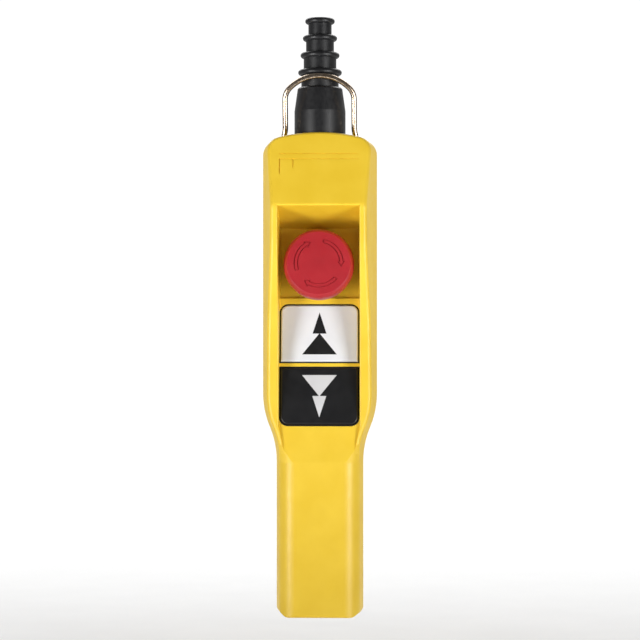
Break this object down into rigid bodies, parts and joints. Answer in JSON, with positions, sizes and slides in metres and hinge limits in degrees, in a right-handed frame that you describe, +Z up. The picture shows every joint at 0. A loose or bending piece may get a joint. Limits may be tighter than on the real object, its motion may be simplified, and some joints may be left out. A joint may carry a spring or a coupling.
{
  "type": "pendant control station",
  "caption": "Handheld pendant control station with a yellow two-part housing, red stop button, up and down drive buttons, rubber cable sleeve and wire suspension bail.",
  "frame": {"origin": "centre of the cable sleeve's mouth, on the sleeve's axis", "axes": "+Z up, out of the sleeve's mouth along the cable; -Y out of the front with the buttons; +X to the right of someone facing the front"},
  "size_m": [0.052, 0.0592, 0.2718],
  "materials": {
    "housing": "satin moulded yellow",
    "housing_rear": "satin moulded yellow",
    "sleeve_rubber": "matt moulded rubber",
    "seal_rubber": "matt rubber",
    "bail_steel": "passivated zinc plate",
    "stop_red": "satin moulded red",
    "cap_white": "satin moulded white",
    "cap_black": "satin moulded black",
    "arrow_black": "moulded-in inlay",
    "arrow_white": "moulded-in inlay",
    "switch_plastic": "glass-filled moulding",
    "plunger_plastic": "natural moulding",
    "brass": "turned",
    "screw_steel": "zinc plated",
    "spring_steel": "drawn wire"
  },
  "bodies": {
    "housing": {"front_shell": "housing", "rear_shell": "housing_rear", "housing_gasket": "seal_rubber", "thread_inserts": "brass", "housing_screws": "screw_steel", "cable_sleeve": "sleeve_rubber", "cable_clamp": "screw_steel", "cable_clamp_screws": "screw_steel", "estop_gasket": "seal_rubber", "estop_bushing": "switch_plastic", "estop_nut": "switch_plastic", "estop_contact_block": "switch_plastic", "estop_fixed_contacts": "brass", "estop_terminal_screws": "screw_steel", "estop_spring": "spring_steel", "switch_plate": "switch_plastic", "switch_plate_screws": "screw_steel", "switch_tray": "switch_plastic", "switch_tray_screws": "screw_steel", "up_button_seal": "seal_rubber", "up_return_spring": "spring_steel", "up_fixed_contacts": "brass", "up_terminal_screws": "screw_steel", "down_button_seal": "seal_rubber", "down_return_spring": "spring_steel", "down_fixed_contacts": "brass", "down_terminal_screws": "screw_steel"},
    "up_button": {"up_button_cap": "cap_white", "up_arrow_inlay": "arrow_black", "up_plunger": "plunger_plastic", "up_contact_bridge": "brass"},
    "down_button": {"down_button_cap": "cap_black", "down_arrow_inlay": "arrow_white", "down_plunger": "plunger_plastic", "down_contact_bridge": "brass"},
    "estop_push": {"estop_plunger": "plunger_plastic", "estop_contact_bridge": "brass"},
    "estop_turn": {"estop_head": "stop_red", "estop_stem": "switch_plastic"},
    "bail": {"suspension_bail": "bail_steel"}
  },
  "joints": [
    {"name": "up_press", "type": "slide", "parent": "housing", "child": "up_button", "axis": [0, 0.989, -0.1478], "range_m": [0, 0.005], "stiffness_N_per_m": 600, "springref_m": -0.004, "deforming": ["up_return_spring"]},
    {"name": "down_press", "type": "slide", "parent": "housing", "child": "down_button", "axis": [0, 0.989, -0.1478], "range_m": [0, 0.005], "stiffness_N_per_m": 600, "springref_m": -0.004, "deforming": ["down_return_spring"]},
    {"name": "estop_press", "type": "slide", "parent": "housing", "child": "estop_push", "axis": [0, 0.989, -0.1478], "range_m": [0, 0.0055], "stiffness_N_per_m": 1200, "springref_m": -0.004, "deforming": ["estop_spring"]},
    {"name": "estop_twist", "type": "hinge", "parent": "estop_push", "child": "estop_turn", "pos_m": [0, 0, -0.1154], "axis": [0, 0.989, -0.1478], "range_deg": [0, 45], "stiffness_Nm_per_rad": 0.05, "springref_deg": -5.73},
    {"name": "bail_swing", "type": "hinge", "parent": "housing", "child": "bail", "pos_m": [0, 0, -0.0615], "axis": [1, 0, 0], "range_deg": [0, 28]}
  ]
}
